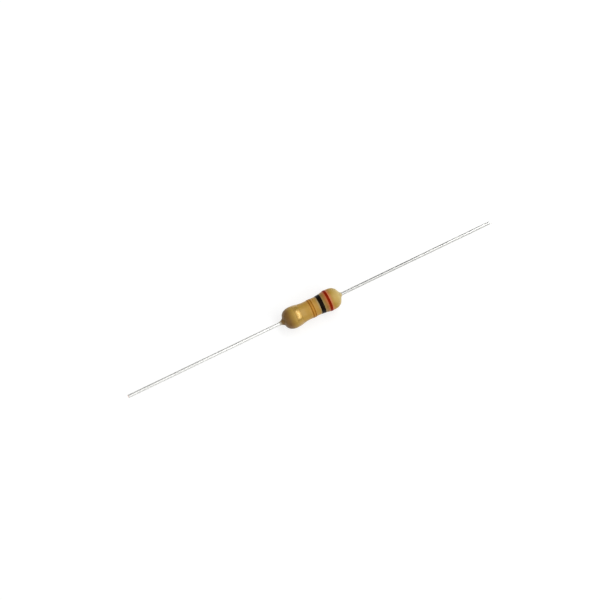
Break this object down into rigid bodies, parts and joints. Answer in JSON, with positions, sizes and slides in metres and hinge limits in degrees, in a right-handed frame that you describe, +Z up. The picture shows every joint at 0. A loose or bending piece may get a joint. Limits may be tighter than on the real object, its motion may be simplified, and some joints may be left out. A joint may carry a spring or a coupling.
{
  "type": "axial resistor",
  "caption": "Straight-leaded axial resistor with a lacquered dog-bone body and painted colour bands.",
  "frame": {"origin": "middle of the body on the lead axis, halfway between the two lead tips", "axes": "+X along the leads towards the red first band, +Z up; the part is turned about X"},
  "size_m": [0.058, 0.0032, 0.0032],
  "materials": {
    "rod_ceramic": "matte",
    "carbon": "satin",
    "tinned_steel": "satin",
    "tinned_wire": "gloss",
    "tan_lacquer": "gloss",
    "red_paint": "gloss",
    "black_paint": "gloss",
    "gold_paint": "satin"
  },
  "bodies": {
    "root": {"ceramic_rod": "rod_ceramic", "carbon_film": "carbon", "left_cap": "tinned_steel", "right_cap": "tinned_steel", "left_lead": "tinned_wire", "right_lead": "tinned_wire", "lacquer_coat": "tan_lacquer", "red_band": "red_paint", "black_band": "black_paint", "gold_multiplier_band": "gold_paint", "gold_tolerance_band": "gold_paint"}
  },
  "joints": []
}
